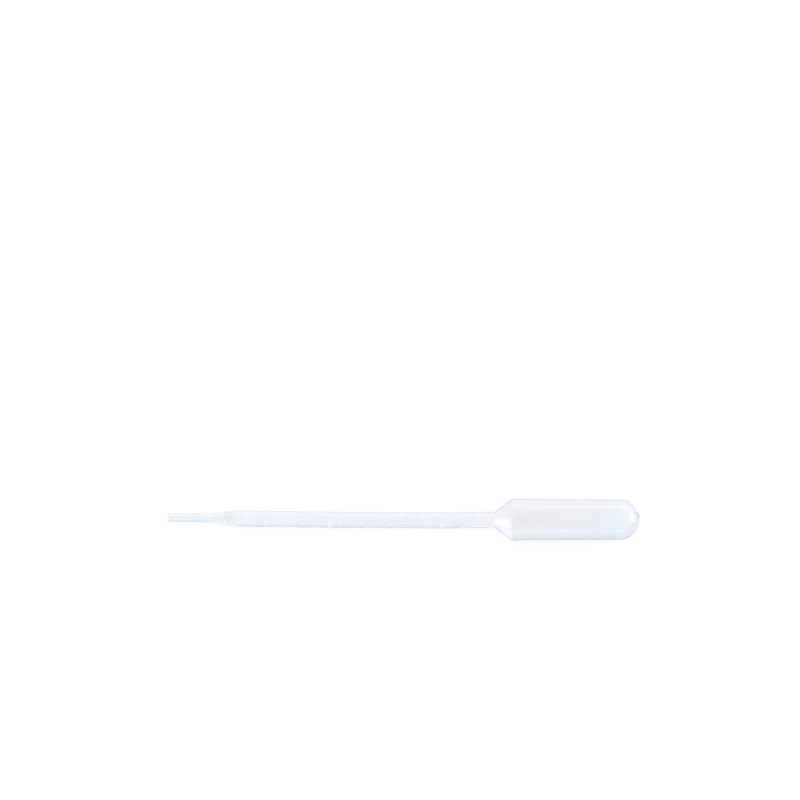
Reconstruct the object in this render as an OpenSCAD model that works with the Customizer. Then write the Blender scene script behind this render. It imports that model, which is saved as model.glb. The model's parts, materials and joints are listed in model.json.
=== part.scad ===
// Dropper pipette, blow moulded in one piece: an open tip, a taper, a graduated stem, a neck cone and
// a squeeze bulb that a pinch weld closes.
//
// The moulding is drawn standing on its tip, with its axis on Z and the graduations facing +X, so the
// mould parts along the plane through Y and Z. It is then laid down as it comes to rest, on the shoulder
// of its bulb and the start of its stem, with the tip towards -X and the lowest points at z = 0.
// A profile point is [distance from the axis, distance from the tip]. Sizes are in millimetres.

/* [Overall] */
// Length from the tip to the end of the bulb
total_length = 155; // [120:1:220]

/* [Tip] */
// Outer diameter of the drop tip
tip_d = 2.85; // [2:0.05:4]
// Wall of the drop tip
tip_wall = 0.4; // [0.2:0.05:0.6]
// Length of the drop tip
tip_length = 14.2; // [4:0.1:30]

/* [Stem] */
// Outer diameter of the stem
stem_d = 5.2; // [4.2:0.1:8]
// Wall of the stem
stem_wall = 0.6; // [0.3:0.05:0.8]
// Length of the taper between the tip and the stem
taper_length = 8.1; // [3:0.1:20]

/* [Bulb] */
// Length of the bulb with its neck cone
bulb_length = 47.3; // [30:0.1:70]
// Diameter of the bulb at its shoulder
bulb_d = 13.8; // [9:0.1:20]
// Wall of the bulb
bulb_wall = 0.4; // [0.25:0.05:0.6]
// Angle of the neck cone, measured from the axis
neck_angle = 37; // [30:1:60]
// Radius that rounds the shoulder
shoulder_round = 1.4; // [0.8:0.1:3]
// Draft that narrows the bulb towards its end
bulb_draft = 0.35; // [0:0.05:1]

/* [Bevel] */
// Angle, to the axis, of the bevel that ends the half of the bulb behind the graduations
bevel_angle = 45; // [20:1:60]

/* [Pinch weld] */
// Width of the weld bead across the end of the bulb
weld_w = 0.45; // [0.2:0.05:1]
// Height of the weld bead above the surface
weld_rise = 0.12; // [0.05:0.01:0.3]
// Angle from the end of the bulb to each end of the weld bead
weld_reach = 72; // [30:1:80]

/* [Graduations] */
// Volume between graduations, in millilitres
graduation_step_ml = 0.25; // [0.1:0.05:0.5]
// Most graduations that the stem is given
graduation_count = 4; // [1:1:8]
// Width of a graduation
graduation_w = 0.5; // [0.3:0.05:1]
// Height of a graduation above the stem
graduation_rise = 0.17; // [0.05:0.01:0.25]
// Angle that a graduation spans round the stem
graduation_span = 65; // [30:5:160]

/* [Rest] */
// Turn of the graduations from straight down, about the axis
rest_roll = 239; // [0:1:360]

/* [Hidden] */

// Facets of a full turn in OpenSCAD's own mesh
$fn = 120;
// How far a cutter reaches past what it cuts
overcut = 1;
// How far a round stands proud of the sides it blends, so that it always meets them
blend = 0.002;
// Cubic millimetres in a millilitre
mm3_per_ml = 1000;

tip_r = tip_d / 2;
tip_bore_r = tip_r - tip_wall;
stem_r = stem_d / 2;
stem_bore_r = stem_r - stem_wall;
bulb_r = bulb_d / 2;

// Heights along the axis
stem_start = tip_length + taper_length;
neck_start = total_length - bulb_length;
shoulder_height = neck_start + (bulb_r - stem_r) / tan(neck_angle);

// The shoulder before it is rounded, and the ways that the neck and the side of the bulb run from it
shoulder = [bulb_r, shoulder_height];
neck_way = -[sin(neck_angle), cos(neck_angle)];
side_way = [-sin(bulb_draft), cos(bulb_draft)];

// Half of the turn that the profile makes at the shoulder, and the centre of the rounds there
shoulder_half_turn = (neck_angle + bulb_draft) / 2;
round_centre = shoulder + shoulder_round * tan(shoulder_half_turn) * neck_way
    + shoulder_round * [-cos(neck_angle), sin(neck_angle)];

// The inside of the shoulder, rounded about the same centre, and of the neck where it meets the bore
inner_round = shoulder_round - bulb_wall;
inner_shoulder = round_centre + (shoulder - round_centre) * inner_round / shoulder_round;
inner_neck_start = inner_shoulder[1] - (inner_shoulder[0] - stem_bore_r) / tan(neck_angle);

// Centre height and radius of the dome that meets the drafted side smoothly and ends at total_length
dome_height = (total_length - bulb_r * cos(bulb_draft) - shoulder_height * sin(bulb_draft))
    / (1 - sin(bulb_draft));
dome_r = total_length - dome_height;

// Half of the turn between the side of the bulb and the bevel, and the corner where they meet
bevel_half_turn = (bevel_angle - bulb_draft) / 2;
bevel_corner = [0, dome_height] + dome_r / cos(bevel_half_turn)
    * [cos(bulb_draft + bevel_half_turn), sin(bulb_draft + bevel_half_turn)];

// Tilt at which a plane under the rounded shoulder also touches a lower profile point
function tilt_onto(point) = atan((round_centre[0] - point[0]) / (round_centre[1] - point[1]))
    + asin(shoulder_round / norm(round_centre - point));

// It rests on whichever touches first, the edge of the tip or the start of the stem
rest_tilt = min(tilt_onto([tip_r, 0]), tilt_onto([stem_r, stem_start]));
rest_lift = round_centre[0] * cos(rest_tilt) + shoulder_round - round_centre[1] * sin(rest_tilt);
rest_middle = (dome_height * cos(rest_tilt) + dome_r) / 2;

// Volume that a cone frustum holds
function frustum_volume(r1, r2, h) = PI * h * (r1 * r1 + r1 * r2 + r2 * r2) / 3;

// Height that a volume drawn up through the tip reaches in the stem
below_stem_volume = frustum_volume(tip_bore_r, tip_bore_r, tip_length)
    + frustum_volume(tip_bore_r, stem_bore_r, taper_length);
function fill_height(volume) = stem_start + (volume - below_stem_volume) / (PI * stem_bore_r * stem_bore_r);

// Heights of the graduations: each step of volume whose level lies on the straight stem
graduation_steps = [for (mark = [1 : graduation_count]) fill_height(mark * graduation_step_ml * mm3_per_ml)];
graduation_heights = [
    for (height = graduation_steps)
        if (height - graduation_w / 2 > stem_start && height + graduation_w / 2 < neck_start) height
];

// Everything inside one skin of the moulding, from the axis outwards and from height bottom up
module profile(bottom, r_tip, r_stem, neck_height, corner, r_round, r_dome) {
    run = r_round * tan(shoulder_half_turn);
    polygon([
        [0, bottom],
        [r_tip, bottom],
        [r_tip, tip_length],
        [r_stem, stem_start],
        [r_stem, neck_height],
        corner + run * neck_way,
        corner + run * side_way,
        [r_dome * cos(bulb_draft), dome_height + r_dome * sin(bulb_draft)],
        [0, dome_height],
    ]);
    translate(round_centre)
        circle(r_round + blend);
    intersection() {
        translate([0, dome_height])
            circle(r_dome + blend);
        translate([0, dome_height - r_dome])
            square(2 * r_dome + overcut);
    }
}

// The side of the bulb run on to a corner, and the bevel that leads from it back to the dome
module bevel_profile() {
    polygon([
        [0, dome_height],
        [dome_r * cos(bulb_draft), dome_height + dome_r * sin(bulb_draft)],
        bevel_corner,
        [dome_r * cos(bevel_angle), dome_height + dome_r * sin(bevel_angle)],
    ]);
}

// The blown shell, its wall the space between the outer and the inner skin. One half of the mould ends the
// bulb in the bevel, so that half has a thicker wall in its corner and a step at the weld.
module shell() {
    difference() {
        union() {
            rotate_extrude()
                profile(0, tip_r, stem_r, neck_start, shoulder, shoulder_round, dome_r);
            rotate_extrude(angle = 180, start = 90)
                bevel_profile();
        }
        rotate_extrude()
            profile(-overcut, tip_bore_r, stem_bore_r, inner_neck_start, inner_shoulder, inner_round,
                dome_r - bulb_wall);
    }
}

// Section of a raised line on a round surface, w wide where it leaves the surface, with its foot in the
// wall and flanks that slope so that the mould lets go of it
module line_section(surface_r, foot, w, rise) {
    slope = 0.5;
    foot_half_w = w / 2 + slope * foot;
    crown_half_w = w / 2 - slope * rise;
    polygon([
        [surface_r - foot, -foot_half_w],
        [surface_r + rise, -crown_half_w],
        [surface_r + rise, crown_half_w],
        [surface_r - foot, foot_half_w],
    ]);
}

// One graduation round the marked side of the stem
module graduation(height) {
    translate([0, 0, height])
        rotate_extrude(angle = graduation_span, start = -graduation_span / 2)
            line_section(stem_r, stem_wall / 2, graduation_w, graduation_rise);
}

// The bead that the mould leaves where it pinches the end of the bulb shut
module pinch_weld() {
    translate([0, 0, dome_height])
        rotate([0, 90, 0])
            rotate_extrude(angle = 2 * weld_reach, start = 180 - weld_reach)
                line_section(dome_r, bulb_wall / 2, weld_w, weld_rise);
}

module pipette() {
    color([0.92, 0.94, 0.96])
        translate([-rest_middle, 0, rest_lift])
            rotate([0, 90 - rest_tilt, 0])
                rotate([0, 0, rest_roll]) {
                    shell();
                    pinch_weld();
                    for (height = graduation_heights)
                        graduation(height);
                }
}

pipette();
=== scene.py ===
"""A dropper pipette, blown in one piece of soft polyethylene, lying on a pale floor in soft light."""

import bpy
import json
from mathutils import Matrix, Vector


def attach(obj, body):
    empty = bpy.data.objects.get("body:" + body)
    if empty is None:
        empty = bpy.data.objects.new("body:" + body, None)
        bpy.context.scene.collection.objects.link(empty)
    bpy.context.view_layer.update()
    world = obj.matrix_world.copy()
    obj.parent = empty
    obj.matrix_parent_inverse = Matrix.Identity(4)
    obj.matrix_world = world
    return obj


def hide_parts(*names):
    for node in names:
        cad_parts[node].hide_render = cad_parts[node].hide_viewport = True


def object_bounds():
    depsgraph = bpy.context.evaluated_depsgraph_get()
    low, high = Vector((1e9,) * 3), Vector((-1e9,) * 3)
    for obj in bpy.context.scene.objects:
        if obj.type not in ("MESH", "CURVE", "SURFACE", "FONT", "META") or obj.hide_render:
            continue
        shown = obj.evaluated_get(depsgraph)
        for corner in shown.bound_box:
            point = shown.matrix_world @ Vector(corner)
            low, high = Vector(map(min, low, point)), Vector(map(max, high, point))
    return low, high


bl_info = {
    "name": "Dropper pipette",
    "version": (1, 0, 0),
    "blender": (4, 5, 0),
    "location": "3D View > Sidebar > Pipette",
    "description": "Makes a blown dropper pipette and the stage that it lies on",
    "category": "Add Mesh",
}

import json
import math
from collections import namedtuple

import bpy
import numpy as np
from bpy.props import FloatProperty, FloatVectorProperty, IntProperty, PointerProperty
from mathutils import Vector

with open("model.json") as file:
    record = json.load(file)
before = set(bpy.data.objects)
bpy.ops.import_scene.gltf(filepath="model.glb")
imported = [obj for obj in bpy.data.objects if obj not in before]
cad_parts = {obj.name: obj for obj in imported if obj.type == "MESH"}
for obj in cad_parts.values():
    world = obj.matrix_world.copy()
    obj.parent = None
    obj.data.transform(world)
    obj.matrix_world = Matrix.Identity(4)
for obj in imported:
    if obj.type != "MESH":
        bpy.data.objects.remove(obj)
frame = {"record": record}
CAD_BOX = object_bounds()
MM = 0.001
POLYETHYLENE_IOR = 1.51
MOUNTS = {mount["name"]: mount for mount in frame["record"]["mounts"]}


def mount_size(name, size):
    """A size of one of the pipette's measured places, in metres."""
    return MOUNTS[name]["dims"][size + "_mm"] * MM


def mount_height(name):
    """How far a measured place lies from the mouth, along the axis."""
    return (Vector(MOUNTS[name]["pos_m"]) - Vector(MOUNTS["tip_bore"]["pos_m"])).length


class PipetteShape(bpy.types.PropertyGroup):
    """Sizes of the moulding"""

    tip_radius: FloatProperty(
        name="Tip radius", description="Outer radius of the drop tip",
        default=mount_size("tip", "r"), min=0.001, max=0.002, precision=5, unit="LENGTH")
    tip_bore: FloatProperty(
        name="Tip bore", description="Radius of the bore in the drop tip",
        default=mount_size("tip_bore", "r"), min=0.0005, max=0.0015, precision=5, unit="LENGTH")
    tip_length: FloatProperty(
        name="Tip length", description="Length of the straight drop tip",
        default=mount_size("tip", "length"), min=0.004, max=0.03, precision=5, unit="LENGTH")
    stem_radius: FloatProperty(
        name="Stem radius", description="Outer radius of the stem",
        default=mount_size("stem", "r"), min=0.002, max=0.004, precision=5, unit="LENGTH")
    stem_wall: FloatProperty(
        name="Stem wall", description="Thickness of the stem's wall",
        default=0.6 * MM, min=0.0003, max=0.001, precision=5, unit="LENGTH")
    stem_length: FloatProperty(
        name="Stem length", description="Length of the straight stem",
        default=mount_size("stem", "length"), min=0.06, max=0.12, precision=5, unit="LENGTH")
    stem_middle: FloatProperty(
        name="Stem middle", description="Distance from the mouth to the middle of the stem",
        default=mount_height("stem"), min=0.04, max=0.08, precision=5, unit="LENGTH")
    bulb_length: FloatProperty(
        name="Bulb length", description="Length of the bulb with its neck cone",
        default=47.3 * MM, min=0.03, max=0.06, precision=5, unit="LENGTH")
    # The bulb is drawn 0.08 mm slimmer than its solid
    bulb_radius: FloatProperty(
        name="Bulb radius", description="Radius of the bulb at its shoulder",
        default=6.82 * MM, min=0.005, max=0.009, precision=5, unit="LENGTH")
    bulb_wall: FloatProperty(
        name="Bulb wall", description="Thickness of the bulb's wall",
        default=0.4 * MM, min=0.0002, max=0.0008, precision=5, unit="LENGTH")
    neck_angle: FloatProperty(
        name="Neck angle", description="Angle of the neck cone to the axis",
        default=math.radians(37), min=0.5, max=1.0, subtype="ANGLE")
    shoulder_round: FloatProperty(
        name="Shoulder round", description="Radius that rounds the shoulder",
        default=1.4 * MM, min=0.0008, max=0.003, precision=5, unit="LENGTH")
    bulb_draft: FloatProperty(
        name="Bulb draft", description="Angle that narrows the bulb towards its end",
        default=math.radians(0.35), min=0.0, max=0.02, subtype="ANGLE")
    corner_round: FloatProperty(
        name="Corner round", description="Radius that softens the ends of the taper",
        default=1.2 * MM, min=0.0002, max=0.003, precision=5, unit="LENGTH")
    neck_round: FloatProperty(
        name="Neck round", description="Radius that softens the foot of the neck",
        default=0.3 * MM, min=0.0001, max=0.004, precision=5, unit="LENGTH")
    mouth_round: FloatProperty(
        name="Mouth round", description="Radius that softens the cut edges of the mouth",
        default=0.07 * MM, min=0.00001, max=0.0002, precision=6, unit="LENGTH")
    mouth_slant: FloatProperty(
        name="Mouth slant", description="How much longer one side of the cut mouth is than the other",
        default=0.4 * MM, min=0.0, max=0.001, precision=5, unit="LENGTH")
    roll: FloatProperty(
        name="Roll", description="Turn of the graduations from straight down, about the axis",
        default=math.radians(239), min=0.0, max=2 * math.pi, subtype="ANGLE")
    stem_bow: FloatProperty(
        name="Stem bow", description="How far the stem bows sideways at its middle",
        default=0.44 * MM, min=0.0, max=0.002, precision=5, unit="LENGTH")
    tip_bend: FloatProperty(
        name="Tip bend", description="How far the tip bends back the other way",
        default=0.33 * MM, min=0.0, max=0.002, precision=5, unit="LENGTH")
    dent: FloatProperty(
        name="Dent", description="Depth of the shallow dent along the upper side of the bulb",
        default=0.03 * MM, min=0.0, max=0.0003, precision=6, unit="LENGTH")


class PipetteMarks(bpy.types.PropertyGroup):
    """Sizes of the raised marks and seams"""

    step_volume: FloatProperty(
        name="Volume step", description="Volume between graduations, in millilitres",
        default=0.25, min=0.1, max=0.5)
    count: IntProperty(
        name="Graduations", description="Number of graduations", default=4, min=1, max=4)
    width: FloatProperty(
        name="Graduation width", description="Width of a graduation at its foot",
        default=0.5 * MM, min=0.0003, max=0.001, precision=5, unit="LENGTH")
    rise: FloatProperty(
        name="Graduation height", description="Height of a graduation above the stem",
        default=0.17 * MM, min=0.00005, max=0.0003, precision=5, unit="LENGTH")
    span: FloatProperty(
        name="Graduation span", description="Angle that a graduation spans round the stem",
        default=math.radians(65), min=0.5, max=3.0, subtype="ANGLE")
    numeral_height: FloatProperty(
        name="Numeral height", description="Height of the raised numerals",
        default=2.9 * MM, min=0.001, max=0.004, precision=5, unit="LENGTH")
    stroke: FloatProperty(
        name="Numeral stroke", description="Width of the strokes of the raised numerals",
        default=0.28 * MM, min=0.0001, max=0.0006, precision=5, unit="LENGTH")
    numeral_rise: FloatProperty(
        name="Numeral rise", description="Height of the numerals above the stem",
        default=0.1 * MM, min=0.00001, max=0.0003, precision=5, unit="LENGTH")
    parting_rise: FloatProperty(
        name="Parting line", description="Height of the parting line along both sides",
        default=0.03 * MM, min=0.0, max=0.0001, precision=6, unit="LENGTH")
    weld_width: FloatProperty(
        name="Weld width", description="Width of the pinch weld",
        default=0.45 * MM, min=0.0002, max=0.001, precision=5, unit="LENGTH")
    weld_rise: FloatProperty(
        name="Weld height", description="Height of the pinch weld above the dome",
        default=0.06 * MM, min=0.00003, max=0.0003, precision=5, unit="LENGTH")
    weld_reach: FloatProperty(
        name="Weld reach", description="Angle from the end of the bulb to each end of the weld",
        default=math.radians(72), min=0.5, max=1.4, subtype="ANGLE")
    weld_offset: FloatProperty(
        name="Weld offset", description="How far the weld runs beside the axis",
        default=0.5 * MM, min=0.0, max=0.002, precision=5, unit="LENGTH")


class PipettePlastic(bpy.types.PropertyGroup):
    """Finish of the polyethylene"""

    colour: FloatVectorProperty(
        name="Colour", description="Colour of the polyethylene", subtype="COLOR",
        size=3, min=0.0, max=1.0, default=(0.985, 0.987, 1.0))
    # The tint at the tip and the dome. At the dome it is painted shade, which comes sooner on the side away
    # from the window.
    end_tint_and_painted_shade: FloatVectorProperty(
        name="End colour", description="Colour that the polyethylene shades into at the tip and the dome",
        subtype="COLOR", size=3, min=0.0, max=1.0, default=(0.966, 0.986, 0.998))
    mark_colour: FloatVectorProperty(
        name="Mark colour", description="Colour of the frosted plastic of the raised marks", subtype="COLOR",
        size=3, min=0.0, max=1.0, default=(0.98, 0.98, 1.0))
    clearness: FloatProperty(
        name="Clearness", description="Share of the light that goes through each face of the wall",
        default=0.98, min=0.0, max=1.0)
    depth_colour: FloatVectorProperty(
        name="Depth colour", description="Colour that the plastic takes on where light runs far inside it",
        subtype="COLOR", size=3, min=0.0, max=1.0, default=(0.15, 0.4, 0.7))
    depth_tint: FloatProperty(
        name="Depth tint", description="How fast that colour comes, per metre",
        default=32.0, min=0.0, max=500.0)


class PipetteStage(bpy.types.PropertyGroup):
    """Floor, light and camera"""

    floor_colour: FloatVectorProperty(
        name="Floor", description="Colour of the floor", subtype="COLOR",
        size=3, min=0.0, max=1.0, default=(0.3, 0.3, 0.3))
    floor_glow: FloatProperty(
        name="Floor glow", description="Light added to the floor, so that it shows as white",
        default=0.75, min=0.0, max=1.0)
    # Painted shadow: the tone of the strips that stand in for the pale blue shadow on the floor away from
    # the window, which the clear edges mirror and let through
    edge_shadow_tone: FloatVectorProperty(
        name="Edge cards", description="Tone of the strips that colour the clear edges away from the window",
        subtype="COLOR", size=3, min=0.0, max=1.0, default=(0.76, 0.87, 0.93))
    bright_sky: FloatVectorProperty(
        name="Bright side", description="Colour of the room on the lit side", subtype="COLOR",
        size=3, min=0.0, max=2.0, default=(1.1, 1.1, 1.1))
    dim_sky: FloatVectorProperty(
        name="Dim side", description="Colour of the room on the far side from the light", subtype="COLOR",
        size=3, min=0.0, max=2.0, default=(0.8, 0.88, 1.0))
    field_width: FloatProperty(
        name="Field width", description="Width of the field that the camera takes in",
        default=262.8 * MM, min=0.1, max=1.0, precision=4, unit="LENGTH")
    lens: FloatProperty(
        name="Lens", description="Focal length of the camera, in millimetres",
        default=85.0, min=35.0, max=200.0)


Heights = namedtuple("Heights", "taper_end neck shoulder dome total dome_radius")


def heights_of(shape):
    """How far the parts of the pipette lie from the mouth, along the axis, and the radius of the dome."""
    taper_end = shape.stem_middle - shape.stem_length / 2
    neck = shape.stem_middle + shape.stem_length / 2
    shoulder = neck + (shape.bulb_radius - shape.stem_radius) / math.tan(shape.neck_angle)
    total = neck + shape.bulb_length
    # The dome meets the drafted side smoothly
    draft = shape.bulb_draft
    dome = (total - shape.bulb_radius * math.cos(draft) - shoulder * math.sin(draft)) / (1 - math.sin(draft))
    return Heights(taper_end, neck, shoulder, dome, total, total - dome)


def outline_of(shape, at):
    """The section of the wall as a fine line of (height, radius) points, from the inner pole of the dome,
    along the bore, round the lip of the mouth and along the outside to the outer pole.
    Also gives the number of points that lie inside."""
    draft, wall = shape.bulb_draft, shape.bulb_wall
    outer = rounded(
        [(0, shape.tip_bore), (0, shape.tip_radius), (shape.tip_length, shape.tip_radius),
         (at.taper_end, shape.stem_radius), (at.neck, shape.stem_radius), (at.shoulder, shape.bulb_radius),
         (at.dome, at.dome_radius / math.cos(draft))],
        [0, shape.mouth_round, shape.corner_round, shape.corner_round, shape.neck_round,
         shape.shoulder_round, 0])

    # The inside runs a wall's thickness under the neck, the shoulder and the side of the bulb. Its shoulder
    # is set a touch nearer the neck than an even wall would have it.
    set_back = 0.98
    lean = (shape.neck_angle - draft) / 2
    inner_shoulder = (at.shoulder + wall * math.sin(lean) / math.cos(lean + draft) * set_back,
                      shape.bulb_radius - wall)
    # The stem's wall thins to the bulb's just before the neck
    thinning_start, thinning_end, thinning_round = 7 * MM, 1 * MM, 2 * MM
    stem_bore = shape.stem_radius - shape.stem_wall
    neck_bore = shape.stem_radius - wall
    inner_neck = inner_shoulder[0] - (inner_shoulder[1] - neck_bore) / math.tan(shape.neck_angle)
    inner = rounded(
        [(0, shape.tip_bore), (shape.tip_length, shape.tip_bore), (at.taper_end, stem_bore),
         (inner_neck - thinning_start, stem_bore), (inner_neck - thinning_end, neck_bore),
         (inner_neck, neck_bore), inner_shoulder, (at.dome, (at.dome_radius - wall) / math.cos(draft))],
        [0, shape.corner_round, shape.corner_round, thinning_round, thinning_round,
         shape.neck_round + wall, shape.shoulder_round - wall, 0])
    # The bore starts just above the cut, which softens its edge
    inner[0, 0] += 0.2 * shape.mouth_round

    dome_steps = 120
    turn = np.linspace(0, math.pi / 2, dome_steps + 1)[1:]
    inner_dome, outer_dome = (
        np.column_stack((at.dome + radius * np.sin(turn), radius * np.cos(turn)))
        for radius in (at.dome_radius - wall, at.dome_radius))
    inside = np.vstack((inner, inner_dome))[::-1]
    outside = np.vstack((outer, outer_dome))[1:]
    return np.vstack((inside, outside)), len(inside)


def rounded(corners, radii):
    """A line through corners, each rounded with its radius."""
    round_steps = 12
    points = []
    for i, (corner, radius) in enumerate(zip(corners, radii)):
        corner = np.array(corner, float)
        if radius == 0:
            points.append(corner)
            continue
        back = np.array(corners[i - 1], float) - corner
        ahead = np.array(corners[i + 1], float) - corner
        back /= np.linalg.norm(back)
        ahead /= np.linalg.norm(ahead)
        half = math.acos(np.clip(np.dot(back, ahead), -1, 1)) / 2
        centre = corner + (back + ahead) / np.linalg.norm(back + ahead) * radius / math.sin(half)
        start = corner + back * radius / math.tan(half) - centre
        sweep = math.pi - 2 * half
        side = math.copysign(1, back[0] * ahead[1] - back[1] * ahead[0])
        for turn in np.linspace(0, -side * sweep, round_steps + 1):
            c, s = math.cos(turn), math.sin(turn)
            points.append(centre + (c * start[0] - s * start[1], s * start[0] + c * start[1]))
    return np.array(points)


def spread(low, high, step_at, total=None):
    """Values from low to high whose spacing follows step_at, in a given number of steps if there is one."""
    samples = 20000
    line = np.linspace(low, high, samples)
    count = np.concatenate(((0,), np.cumsum(np.diff(line) / step_at((line[1:] + line[:-1]) / 2))))
    total = total or max(int(round(count[-1])), 2)
    return np.interp(np.linspace(0, count[-1], total + 1), count, line)


def smooth(low, high, x):
    """0 below low, 1 above high, and a smooth rise between."""
    t = np.clip((x - low) / (high - low), 0, 1)
    return t * t * (3 - 2 * t)


def fill_heights(shape, marks):
    """How high each step of volume, drawn up through the mouth, stands in the stem."""
    def frustum(r1, r2, h):
        return math.pi * h * (r1 * r1 + r1 * r2 + r2 * r2) / 3

    millilitre = 1e-6
    taper_end = heights_of(shape).taper_end
    stem_bore = shape.stem_radius - shape.stem_wall
    below = frustum(shape.tip_bore, shape.tip_bore, shape.tip_length) + frustum(
        shape.tip_bore, stem_bore, taper_end - shape.tip_length)
    return [taper_end + (n * marks.step_volume * millilitre - below) / (math.pi * stem_bore ** 2)
            for n in range(1, marks.count + 1)]


def arc(x, y, rx, ry, start, end, steps=10):
    """Points of an arc, its angles in degrees."""
    turn = np.radians(np.linspace(start, end, steps))
    return [(x + rx * math.cos(t), y + ry * math.sin(t)) for t in turn]


# Strokes of each raised character, in a cell 1 high. The second value is the character's width.
CHARACTERS = {
    ".": ([[(0.06, 0.03), (0.08, 0.03)]], 0.14),
    "5": ([[(0.5, 1.0), (0.1, 1.0), (0.06, 0.56)] + arc(0.27, 0.32, 0.27, 0.31, 130, -145, 14)], 0.54),
    "1": ([[(0.0, 0.78), (0.2, 1.0), (0.2, 0.0)]], 0.24),
    "m": ([[(0.0, 0.0), (0.0, 0.62)], arc(0.2, 0.42, 0.2, 0.2, 180, 0) + [(0.4, 0.0)],
           arc(0.6, 0.42, 0.2, 0.2, 180, 0) + [(0.8, 0.0)]], 0.8),
    "l": ([[(0.0, 0.0), (0.0, 1.0)]], 0.0),
}

# Each raised word: the number of the graduation it stands by, how far its foot lies beyond that, and its
# height as a share of the numerals'
WORDS = {".5": (2, 0.75 * MM, 1.0), "1": (4, 1.5 * MM, 0.95), "ml": (4, -3.5 * MM, 0.66)}


def strokes_of(text, height, gap):
    """Strokes of a word, centred about 0 and standing on 0."""
    lines, x = [], 0.0
    for character in text:
        strokes, width = CHARACTERS[character]
        lines += [np.array(stroke) * height + (x, 0) for stroke in strokes]
        x += width * height + gap
    return [line - ((x - gap) / 2, 0) for line in lines]


def distance_to(lines, x, y):
    """Distance of each (x, y) from the nearest of the lines."""
    nearest = np.full(x.shape, np.inf)
    for line in lines:
        for (ax, ay), (bx, by) in zip(line[:-1], line[1:]):
            dx, dy = bx - ax, by - ay
            along = np.clip(((x - ax) * dx + (y - ay) * dy) / (dx * dx + dy * dy), 0, 1)
            nearest = np.minimum(nearest, np.hypot(x - ax - along * dx, y - ay - along * dy))
    return nearest


def words_of(shape, marks):
    """(text, height of the letters, height of the baseline above the mouth) of each raised word."""
    levels = fill_heights(shape, marks)
    return [(text, marks.numeral_height * share, levels[number - 1] + beyond)
            for text, (number, beyond, share) in WORDS.items() if number <= marks.count]


def raised_marks(shape, marks, height, turn):
    """How far the graduations and the numerals stand above the outside."""
    # How wide the flank of a graduation is for its height, and the angle over which its ends fade
    flank, end_fade = 0.5, 0.12
    foot = marks.width / 2
    crown = foot - flank * marks.rise
    ends = 1 - smooth(-end_fade, 0.0, np.abs(turn) - marks.span / 2)
    rise = np.zeros(np.broadcast(height, turn).shape)
    for level in fill_heights(shape, marks):
        slope = np.clip((foot - np.abs(height - level)) / (foot - crown), 0, 1)
        rise = np.maximum(rise, marks.rise * slope * ends)

    # The gap between letters, the flank of a stroke, and the part of the stem on which a word can lie. What
    # lies elsewhere counts as far away.
    letter_gap, stroke_flank, margin, most_turn, far = 0.45 * MM, 0.24 * MM, MM, 1.2, 1
    around = turn * shape.stem_radius
    for text, tall, base in words_of(shape, marks):
        near = (height > base - margin) & (height < base + tall + margin) & (np.abs(turn) < most_turn)
        lines = strokes_of(text, tall, letter_gap)
        away = distance_to(lines, np.where(near, around, far), np.where(near, height - base, far))
        stroke = np.clip((marks.stroke / 2 + stroke_flank / 2 - away) / stroke_flank, 0, 1)
        rise = np.maximum(rise, marks.numeral_rise * stroke)
    return rise


def parting_line(marks, at, height, radius, turn):
    """How far the line stands up where the halves of the mould part, a quarter turn from the graduations."""
    half_width = 0.12 * MM
    off_line = np.abs(radius * np.cos(turn))
    return np.where(height < at.dome, marks.parting_rise * np.clip(1 - off_line / half_width, 0, 1), 0)


def pinch_weld(marks, beside_weld, from_end):
    """How far the bead of the weld stands up from the dome."""
    end_fade = 0.1
    bead = 1 - smooth(0, marks.weld_width / 2, np.abs(beside_weld))
    return marks.weld_rise * (bead * (1 - smooth(marks.weld_reach - end_fade, marks.weld_reach, from_end)))


def dent(shape, at, height, turn):
    """Depth of a shallow dent with a low ridge beside it, which run along the upper side of the bulb and
    change places partway."""
    middle, width = -math.radians(100), 0.16
    around = (turn - middle) / width
    on_bulb = smooth(at.shoulder, at.shoulder + 3 * MM, height) * (
        1 - smooth(at.dome - 2 * MM, at.dome + MM, height))
    # The place of the change runs aslant
    change = 1 - 2 * smooth(at.shoulder + 10 * MM, at.shoulder + 14 * MM, height + 4 * MM * around)
    return shape.dent * on_bulb * change * around * np.exp(-around ** 2 / 2)


def bevel(beside_weld, from_end):
    """How many times further out the wall lies than the dome would. Beyond the weld, the mould half runs on
    straight to a corner, and a bevel leads back to the dome."""
    blend, corner = 5 * MM, 0.02
    bevelled = smooth(0, blend, -beside_weld) * (from_end < math.pi / 2)
    polar = np.clip(from_end, math.pi / 4, math.pi / 2)
    side_reach, bevel_reach = 1 / np.sin(polar), 1 / np.cos(polar - math.pi / 4)
    reach = (side_reach + bevel_reach - np.hypot(side_reach - bevel_reach, corner)) / 2
    return 1 + bevelled * (np.maximum(reach, 1) - 1)


def mouth_slant(shape, height, turn):
    """How much is cut off the tip on each side. The mouth is longest on the side that faces +Y."""
    fade = 1 - smooth(0, 4 * MM, height)
    return shape.mouth_slant / 2 * (1 - np.cos(turn + shape.roll - math.pi / 2)) * fade


def bow_at(shape, height):
    """How far the axis lies to the side at a height."""
    bend_end, peak_from, peak_to, straight_from = 40 * MM, 80 * MM, 88 * MM, 126 * MM
    bend = shape.tip_bend * np.clip(1 - height / bend_end, 0, 1) ** 2
    bow = smooth(0, peak_from, height) * (1 - smooth(peak_to, straight_from, height))
    return bend - shape.stem_bow * bow


def laid_down(shape, height, radius, turn):
    """Points of the pipette as it lies, from their height along the axis, their radius and their turn."""
    mouth = np.array(Vector(MOUNTS["tip_bore"]["pos_m"]))
    axis = -Vector(MOUNTS["tip_bore"]["axis"]).normalized()
    side = Vector((0, 1, 0))
    down = side.cross(axis)
    angle = turn + shape.roll
    return (mouth + height[..., None] * np.array(axis)
            + (radius * np.cos(angle))[..., None] * np.array(down)
            + (radius * np.sin(angle) + bow_at(shape, height))[..., None] * np.array(side))


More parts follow.
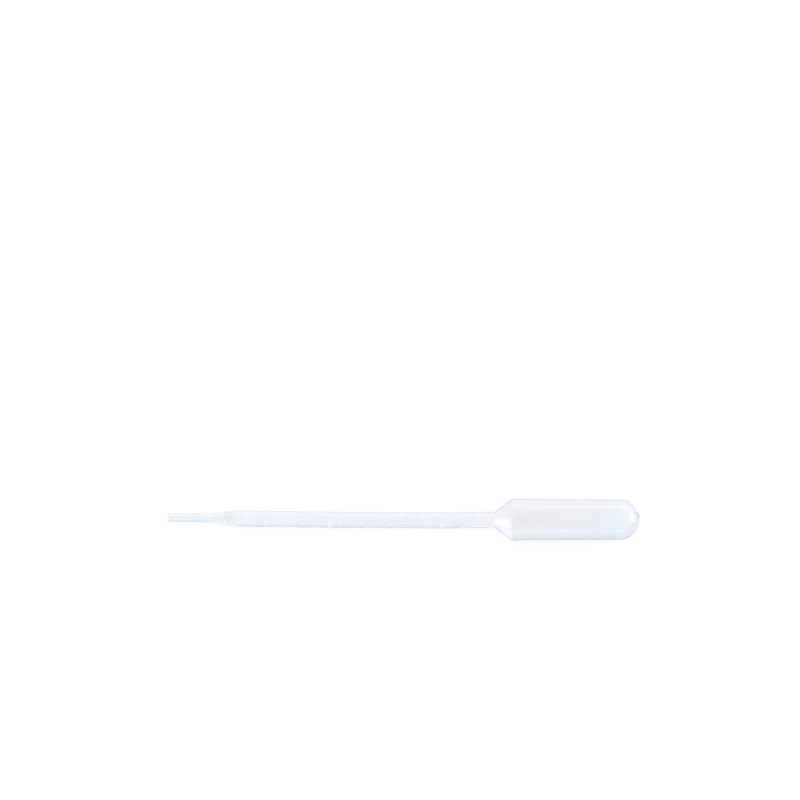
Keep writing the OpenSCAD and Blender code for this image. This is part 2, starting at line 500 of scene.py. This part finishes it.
def rings_of(shape, marks, at, line, length, mouth):
    """Where the rings of the mesh lie along the outline, close together where it turns or stands up."""
    levels, words = fill_heights(shape, marks), words_of(shape, marks)

    def step_at(place):
        height = np.interp(place, length, line[:, 0])
        outside = place > mouth

        def near(level, reach):
            return np.abs(height - level) < reach * MM

        # Each zone, and the distance between its rings outside and inside, in millimetres. Where zones
        # overlap, the later one holds.
        zones = [
            (near(shape.tip_length, 0.8) | near(at.taper_end, 0.8), 0.16, 0.16),
            (height > at.neck - MM, 0.4, 0.6),
            (near(at.neck, 1.1), 0.1, 0.1),
            (near(at.shoulder, 0.9), 0.09, 0.09),
            ((height > at.shoulder + MM) & (height < at.dome - MM), 0.9, 1.4),
            (height > at.dome - MM, 0.16, 0.28),
            *((outside & near(level, 0.34), 0.06, 0.06) for level in levels),
            *((outside & (height > base - 0.3 * MM) & (height < base + tall + 0.3 * MM), 0.09, 0.09)
              for _, tall, base in words),
            ((height < 0.5 * MM) & (np.abs(place - mouth) < 1.0 * MM), 0.03, 0.03)]
        step = np.where(outside, 1.6, 2.4) * MM
        for zone, outer, inner in zones:
            step = np.where(zone, np.where(outside, outer, inner) * MM, step)
        return step

    return spread(0, length[-1], step_at)[1:-1]


def columns_of():
    """Turns of the mesh's columns about the axis, on the stem and on the bulb, as many on each."""
    # Degrees between columns
    plain_stem, plain_bulb, at_marks, at_seams = 3.5, 3.2, 1.8, 0.8
    # Turn at which the marks end, and the turn and half the width of the seams
    marks_end, parting, parting_half, weld, weld_half = 0.75, math.pi / 2, 0.06, math.radians(94), 0.14

    def stem_step(turn):
        step = np.where(np.abs(turn) < marks_end, at_marks, plain_stem)
        return np.radians(np.where(np.abs(np.abs(turn) - parting) < parting_half, at_seams, step))

    def bulb_step(turn):
        return np.radians(np.where(np.abs(np.abs(turn) - weld) < weld_half, at_seams, plain_bulb))

    stem = spread(-math.pi, math.pi, stem_step)[:-1]
    return stem, spread(-math.pi, math.pi, bulb_step, len(stem))[:-1]


def faces_of(rings, columns):
    """Faces between the rings, and between the last ring at each end and its pole."""
    this = np.arange(columns)
    after = (this + 1) % columns
    faces = []
    for ring in range(rings - 1):
        near, far = ring * columns, (ring + 1) * columns
        faces += np.column_stack((near + after, far + after, far + this, near + this)).tolist()
    last, inner_pole, outer_pole = (rings - 1) * columns, rings * columns, rings * columns + 1
    faces += np.column_stack((np.full(columns, inner_pole), after, this)).tolist()
    faces += np.column_stack((np.full(columns, outer_pole), last + this, last + after)).tolist()
    return faces


def make_shell(shape, marks):
    """The whole moulding as one closed mesh."""
    at = heights_of(shape)
    line, inside_count = outline_of(shape, at)
    length = np.concatenate(((0,), np.cumsum(np.linalg.norm(np.diff(line, axis=0), axis=1))))
    mouth = length[inside_count - 1]
    rings = rings_of(shape, marks, at, line, length, mouth)
    height, radius = np.interp(rings, length, line[:, 0]), np.interp(rings, length, line[:, 1])
    tangent = np.column_stack((np.gradient(height, rings), np.gradient(radius, rings)))
    tangent /= np.linalg.norm(tangent, axis=1)[:, None]

    height, radius, outside = height[:, None], radius[:, None], (rings > mouth)[:, None]
    stem_columns, bulb_columns = columns_of()
    turn = stem_columns + (bulb_columns - stem_columns) * smooth(at.neck - MM, at.shoulder + 2 * MM, height)
    # The weld runs beside the axis. from_end is the angle from the end of the bulb.
    beside_weld = radius * np.cos(turn) + marks.weld_offset
    from_end = np.arctan2(radius, height - at.dome)

    standing = np.where(outside, raised_marks(shape, marks, height, turn), 0)
    rise = np.maximum(standing, np.where(outside, parting_line(marks, at, height, radius, turn), 0))
    rise = rise + np.where(outside, pinch_weld(marks, beside_weld, from_end), 0)
    rise = rise - dent(shape, at, height, turn)
    along = height - rise * tangent[:, 1, None]
    out = radius + rise * tangent[:, 0, None]
    reach = bevel(beside_weld, from_end)
    along = np.where(height > at.dome, at.dome + (along - at.dome) * reach, along)
    along = along + mouth_slant(shape, height, turn)

    poles = laid_down(shape, np.array((at.total - shape.bulb_wall, at.total)), np.zeros(2), np.zeros(2))
    vertices = np.vstack((laid_down(shape, along, out * reach, turn).reshape(-1, 3), poles))
    faces = faces_of(len(rings), len(stem_columns))
    mesh = bpy.data.meshes.new("blown_shell")
    mesh.from_pydata(vertices.tolist(), [], faces)
    # Every face that a mark lifts takes the second material. The poles come last and carry no mark.
    least_lift = 0.01 * MM
    marked = np.append(standing > least_lift, (False, False))
    mesh.polygons.foreach_set("material_index", [int(marked[face].any()) for face in faces])
    mesh.validate()
    mesh.update()
    mesh.shade_smooth()
    mesh.set_sharp_from_angle(angle=math.radians(25))
    return add_object("blown_shell", mesh)


def add_object(name, data):
    """A new object in the scene."""
    made = bpy.data.objects.new(name, data)
    bpy.context.scene.collection.objects.link(made)
    return made


def feed(node, inputs):
    """Give each input of a node, by its name or number, a value or another node's output."""
    for name, source in inputs.items():
        if isinstance(source, bpy.types.NodeSocket):
            node.id_data.links.new(source, node.inputs[name])
        else:
            node.inputs[name].default_value = source


def add_node(tree, kind, inputs=None, **settings):
    """A new shader node with its settings and inputs."""
    node = tree.nodes.new("ShaderNode" + kind)
    for name, value in settings.items():
        setattr(node, name, value)
    feed(node, inputs or {})
    return node


def new_material(name):
    """A new material and its node tree."""
    material = bpy.data.materials.new(name)
    material.use_nodes = True
    return material, material.node_tree


def polyethylene(plastic):
    """Clear, faintly blue polyethylene, with streaks in its gloss that run along the blown wall, and a
    green-blue tint at its ends that is painted shade at the dome.
    """
    material, tree = new_material("polyethylene")
    place = add_node(tree, "TexCoord").outputs["Object"]

    # A faint green-blue tint at both ends. At the bulb it is painted shade, which starts sooner on the side
    # away from the window, where less light falls.
    split = add_node(tree, "SeparateXYZ", {"Vector": place}).outputs
    along = add_node(tree, "Math", {0: split["X"], 1: split["Y"]}, operation="SUBTRACT").outputs["Value"]
    tip_shade, dome_shade = (
        add_node(tree, "MapRange", {"Value": along, "From Min": start, "From Max": full},
                 interpolation_type="SMOOTHSTEP").outputs["Result"]
        for start, full in ((-52 * MM, -56 * MM), (54 * MM, 68 * MM)))
    near_end = add_node(tree, "Math", {0: tip_shade, 1: dome_shade}, operation="MAXIMUM").outputs["Value"]
    colour = add_node(tree, "Mix", {"A": (*plastic.colour, 1), "B": (*plastic.end_tint_and_painted_shade, 1),
                                    "Factor": near_end}, data_type="RGBA").outputs["Result"]

    # The streaks are long along X
    stretched = add_node(tree, "Mapping", {"Vector": place, "Scale": (60, 900, 900)}).outputs["Vector"]
    streaks = add_node(tree, "TexNoise", {"Vector": stretched, "Scale": 1.0, "Detail": 3.0}).outputs["Fac"]
    gloss = add_node(tree, "MapRange", {"Value": streaks, "To Min": 0.1, "To Max": 0.13}).outputs["Result"]
    grain = add_node(tree, "TexNoise", {"Vector": place, "Scale": 2500.0, "Detail": 2.0}).outputs["Fac"]
    relief = add_node(tree, "Bump", {"Height": grain, "Strength": 0.02, "Distance": 0.05 * MM})
    feed(tree.nodes["Principled BSDF"], {
        "Base Color": colour, "Roughness": gloss, "Normal": relief.outputs["Normal"],
        "Transmission Weight": plastic.clearness, "IOR": POLYETHYLENE_IOR})

    depth = add_node(tree, "VolumeAbsorption",
                     {"Color": (*plastic.depth_colour, 1), "Density": plastic.depth_tint})
    feed(tree.nodes["Material Output"], {"Volume": depth.outputs["Volume"]})
    return material


def frosted(plastic):
    """The same plastic where it stands up in the graduations and numerals, white and cloudy."""
    material, tree = new_material("polyethylene_frosted")
    white = (*plastic.mark_colour, 1)
    place = add_node(tree, "TexCoord").outputs["Object"]
    grain = add_node(tree, "TexNoise", {"Vector": place, "Scale": 6000.0}).outputs["Fac"]
    gloss = add_node(tree, "MapRange", {"Value": grain, "To Min": 0.3, "To Max": 0.4}).outputs["Result"]
    shader = tree.nodes["Principled BSDF"]
    feed(shader, {"Base Color": white, "Roughness": gloss, "IOR": POLYETHYLENE_IOR})

    # Seen from within the wall, the marks pass on the light that falls on them from outside
    within = add_node(tree, "BsdfTranslucent", {"Color": white}).outputs["BSDF"]
    from_within = add_node(tree, "NewGeometry").outputs["Backfacing"]
    both = add_node(tree, "MixShader", {"Fac": from_within, 1: shader.outputs["BSDF"], 2: within})
    feed(tree.nodes["Material Output"], {"Surface": both.outputs["Shader"]})
    return material


def make_floor(stage):
    """A wide pale floor that shows as white and keeps the soft shadow of the pipette."""
    half = 3.0
    mesh = bpy.data.meshes.new("floor")
    mesh.from_pydata(
        [(-half, -half, 0), (half, -half, 0), (half, half, 0), (-half, half, 0)], [], [(0, 1, 2, 3)])
    floor = add_object("floor", mesh)

    material, tree = new_material("floor_paper")
    tree.nodes.remove(tree.nodes["Principled BSDF"])
    paper = add_node(tree, "BsdfDiffuse", {"Color": (*stage.floor_colour, 1)}).outputs["BSDF"]
    strength = add_node(tree, "Math", {0: seen_rays(tree), 1: stage.floor_glow}, operation="MULTIPLY")
    glow = add_node(tree, "Emission", {"Strength": strength.outputs["Value"]}).outputs["Emission"]
    both = add_node(tree, "AddShader", {0: paper, 1: glow})
    feed(tree.nodes["Material Output"], {"Surface": both.outputs["Shader"]})
    mesh.materials.append(material)


def seen_rays(tree):
    """1 for rays of the camera and for rays that mirror or pass through the plastic, and 0 for the rest."""
    path = add_node(tree, "LightPath").outputs
    by_plastic = add_node(tree, "Math", {0: path["Is Glossy Ray"], 1: path["Is Transmission Ray"]},
                          operation="MAXIMUM").outputs["Value"]
    seen = add_node(tree, "Math", {0: path["Is Camera Ray"], 1: by_plastic}, operation="MAXIMUM")
    return seen.outputs["Value"]


def make_painted_strip(name, rows, lift=0.05 * MM):
    """A glowing strip just above the floor, which shows only in rays that the plastic mirrors or lets
    through, and so paints shade or light on the floor for the plastic alone. Each row has as many points
    across it, (x, y, tone). A white tone is like the bare floor, a darker one is painted shadow and a
    brighter one a painted highlight."""
    count, across = len(rows), len(rows[0])
    mesh = bpy.data.meshes.new(name)
    mesh.from_pydata(
        [(x, y, lift) for row in rows for x, y, _ in row], [],
        [(across * i + k, across * i + k + 1, across * (i + 1) + k + 1, across * (i + 1) + k)
         for i in range(count - 1) for k in range(across - 1)])
    shades = mesh.color_attributes.new("tone", "FLOAT_COLOR", "POINT")
    for shade, (_, _, tone) in zip(shades.data, sum(rows, [])):
        shade.color = (*tone, 1)
    card = add_object(name, mesh)
    card.visible_camera = card.visible_diffuse = card.visible_shadow = False

    material, tree = new_material(name)
    tree.nodes.remove(tree.nodes["Principled BSDF"])
    tone = add_node(tree, "VertexColor", layer_name="tone").outputs["Color"]
    glow = add_node(tree, "Emission", {"Color": tone}).outputs["Emission"]
    feed(tree.nodes["Material Output"], {"Surface": glow})
    mesh.materials.append(material)


def make_painted_strips(stage, shape):
    """Painted shadow and highlight on the floor, seen only in and through the plastic. Pale blue strips
    beside the pipette, away from the window, paint the shadow there that gives the clear edges their colour.
    The floor under the stem and the start of the bulb gets a little painted shade, and the neck cone mirrors
    a painted bright strip."""
    low, high = CAD_BOX
    at = heights_of(shape)
    tip_end, neck, end = low.x + shape.tip_length, low.x + at.neck, high.x
    edge = tuple(stage.edge_shadow_tone)
    pale_edge = tuple(0.3 + 0.7 * part for part in edge)
    # Tones under white are painted shadow: pale blue beside the pipette away from the window, grey under the
    # stem and the start of the bulb
    white, bulb_shade = (1.0, 1.0, 1.0), (0.935, 0.93, 0.93)
    taper_shade, stem_shade, stem_under_shade = (0.88, 0.88, 0.885), (0.955, 0.955, 0.96), (0.95, 0.95, 0.957)
    neck_shade, neck_under_shade = (0.915, 0.91, 0.92), (0.935, 0.938, 0.95)
    tip_tones, bulb_tones = (white, edge, edge, white), (bulb_shade, bulb_shade, pale_edge, pale_edge, white)

    # Places across the strips, in millimetres from the middle of the pipette. The stem rises towards its
    # neck, so its clear edge mirrors the floor further out there.
    by_tip = (-0.9, -1.5, -4, -9)
    by_stem = (4, 2.6, 1.3, 0.7, -2.7, -3.4, -7.5, -12)
    by_neck = (5.5, 3.4, 1.7, 0.9, -4.0, -4.8, -12.5, -18)
    by_bulb = (-3.2, -5, -7.3, -22, -45)
    by_dome = (-1.5, -2, -5, -22, -45)
    # The stations along each strip: x, the places across it there and their tones
    strips = {
        "tip_painted_shadow": [(low.x - 2 * MM, by_tip, tip_tones), (tip_end - 1 * MM, by_tip, tip_tones)],
        "bulb_painted_shadow": [(neck + 6.4 * MM, by_bulb, bulb_tones), (end - 7 * MM, by_bulb, bulb_tones),
                      (end + 2 * MM, by_dome, bulb_tones)],
        "stem_painted_shadow": [
            (x, places, (white, shade, shade, core, core, outer, outer, white))
            for x, places, shade, core, outer in (
                (tip_end + 5 * MM, by_stem, taper_shade, taper_shade, white),
                (tip_end + 8.4 * MM, by_stem, stem_shade, stem_under_shade, white),
                (tip_end + 8.5 * MM, by_stem, stem_shade, stem_under_shade, edge),
                (neck - 0.5 * MM, by_neck, neck_shade, neck_under_shade, edge))],
    }
    for name, stations in strips.items():
        make_painted_strip(name, [[(x, place * MM, tone) for place, tone in zip(places, tones)]
                         for x, places, tones in stations])

    # Painted highlight: a strip that glows brighter than the bare floor, from the foot of the neck, away
    # from the tip and the window, brighter further on. The lower half of the neck cone mirrors it.
    beside = -10
    rows = []
    for away, brightness in ((0, 1.2), (6, 1.4), (20, 1.75), (60, 2.05), (160, 2.2)):
        row = []
        for degrees, start, share in ((29, -1, 0), (36, 1, 1), (48, 4, 1), (56, 7, 0)):
            turn = math.radians(degrees)
            tone = 1 + share * (brightness - 1)
            row.append((neck + (start - away * math.cos(turn)) * MM, (beside - away * math.sin(turn)) * MM,
                        (tone, tone, tone)))
        rows.append(row)
    make_painted_strip("neck_painted_highlight", rows, lift=0.1 * MM)


def make_room(stage):
    """The world: a pale room, brighter on the side that the light comes from, and white to the camera."""
    world = bpy.data.worlds.new("room")
    bpy.context.scene.world = world
    world.use_nodes = True
    tree = world.node_tree
    place = add_node(tree, "TexCoord").outputs["Generated"]
    split = add_node(tree, "SeparateXYZ", {"Vector": place}).outputs
    side = add_node(tree, "MapRange", {"Value": split["Y"], "From Min": -1.0, "From Max": 0.9},
                    interpolation_type="SMOOTHSTEP").outputs["Result"]
    colour = add_node(tree, "Mix", {"A": (*stage.dim_sky, 1), "B": (*stage.bright_sky, 1), "Factor": side},
                      data_type="RGBA").outputs["Result"]
    to_camera = add_node(tree, "LightPath").outputs["Is Camera Ray"]
    shown = add_node(tree, "Mix", {"A": colour, "B": (1, 1, 1, 1), "Factor": to_camera}, data_type="RGBA")
    feed(tree.nodes["Background"], {"Color": shown.outputs["Result"]})


# Each lamp: its name, its place, what it faces, its width and height, and how bright its face is, 1 being
# white. The end light is made of lamps within lamps, so it fades towards its edge.
LAMPS = [
    ("window", (0, 0.9, 0.126), (0, 0, 0), (1.5, 0.22), 1.12),
    *(("end_light", (0.72, 0.18, 0.13), (0.05, 0, 0), (0.6 * part, 0.26 * part), 0.95)
      for part in (1.4, 1.0, 0.6)),
    ("tip_light", (-0.765, -0.205, 0.115), (0, 0, 0), (0.58, 0.23), 1.5),
]


def make_lamp(name, place, target, size, brightness):
    """A soft flat lamp that faces target."""
    lamp = bpy.data.lights.new(name, "AREA")
    lamp.shape = "RECTANGLE"
    lamp.size, lamp.size_y = size
    lamp.energy = brightness * math.pi * size[0] * size[1]
    holder = add_object(name, lamp)
    holder.location = place
    holder.rotation_euler = (Vector(target) - Vector(place)).to_track_quat("-Z", "Y").to_euler()
    holder.visible_camera = False


def make_camera(stage):
    """Looks straight down, with the pipette a little below the middle of its field."""
    low, high = CAD_BOX
    middle = (low + high) / 2
    camera = bpy.data.cameras.new("camera")
    camera.lens = stage.lens
    camera.clip_start, camera.clip_end = 0.01, 20
    holder = add_object("camera", camera)
    # How far the middle of the view lies from the pipette's, and the level at which the field has its width
    beside, above, level = -0.82 * MM, 39.1 * MM, 5.2 * MM
    reach = stage.field_width * stage.lens / camera.sensor_width
    holder.location = (middle.x + beside, middle.y + above, level + reach)
    bpy.context.scene.camera = holder


class PIPETTE_OT_shell(bpy.types.Operator):
    """Make the blown pipette in place of its plain solid"""

    bl_idname = "pipette.make_shell"
    bl_label = "Make pipette"

    def execute(self, context):
        scene = context.scene
        shell = make_shell(scene.pipette_shape, scene.pipette_marks)
        shell.data.materials.append(polyethylene(scene.pipette_plastic))
        shell.data.materials.append(frosted(scene.pipette_plastic))
        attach(shell, "root")
        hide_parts("pipette")
        return {"FINISHED"}


class PIPETTE_OT_stage(bpy.types.Operator):
    """Make the floor, the light and the camera"""

    bl_idname = "pipette.make_stage"
    bl_label = "Make stage"

    def execute(self, context):
        stage = context.scene.pipette_stage
        context.scene.view_settings.view_transform = "Standard"
        make_floor(stage)
        # Strips of painted shadow and painted highlight on the floor, which only the plastic shows
        make_painted_strips(stage, context.scene.pipette_shape)
        make_room(stage)
        for lamp in LAMPS:
            make_lamp(*lamp)
        make_camera(stage)
        return {"FINISHED"}


class PIPETTE_PT_panel(bpy.types.Panel):
    """Sizes and colours of the pipette and its stage"""

    bl_label = "Dropper pipette"
    bl_idname = "PIPETTE_PT_panel"
    bl_space_type = "VIEW_3D"
    bl_region_type = "UI"
    bl_category = "Pipette"

    def draw(self, context):
        scene, layout = context.scene, self.layout
        for title, group in (("Shape", scene.pipette_shape), ("Marks", scene.pipette_marks),
                             ("Plastic", scene.pipette_plastic), ("Stage", scene.pipette_stage)):
            box = layout.box()
            box.label(text=title)
            for name in group.__annotations__:
                box.prop(group, name)
        layout.operator(PIPETTE_OT_shell.bl_idname)
        layout.operator(PIPETTE_OT_stage.bl_idname)


GROUPS = {"pipette_shape": PipetteShape, "pipette_marks": PipetteMarks,
          "pipette_plastic": PipettePlastic, "pipette_stage": PipetteStage}
CLASSES = (*GROUPS.values(), PIPETTE_OT_shell, PIPETTE_OT_stage, PIPETTE_PT_panel)


def register():
    """Add the classes and their settings to Blender."""
    for made in CLASSES:
        bpy.utils.register_class(made)
    for name, group in GROUPS.items():
        setattr(bpy.types.Scene, name, PointerProperty(type=group))


def unregister():
    """Take the classes and their settings out of Blender."""
    for name in GROUPS:
        delattr(bpy.types.Scene, name)
    for made in reversed(CLASSES):
        bpy.utils.unregister_class(made)


def main():
    """Make the pipette and its stage."""
    register()
    bpy.ops.pipette.make_shell()
    bpy.ops.pipette.make_stage()


if __name__ == "__main__":
    main()
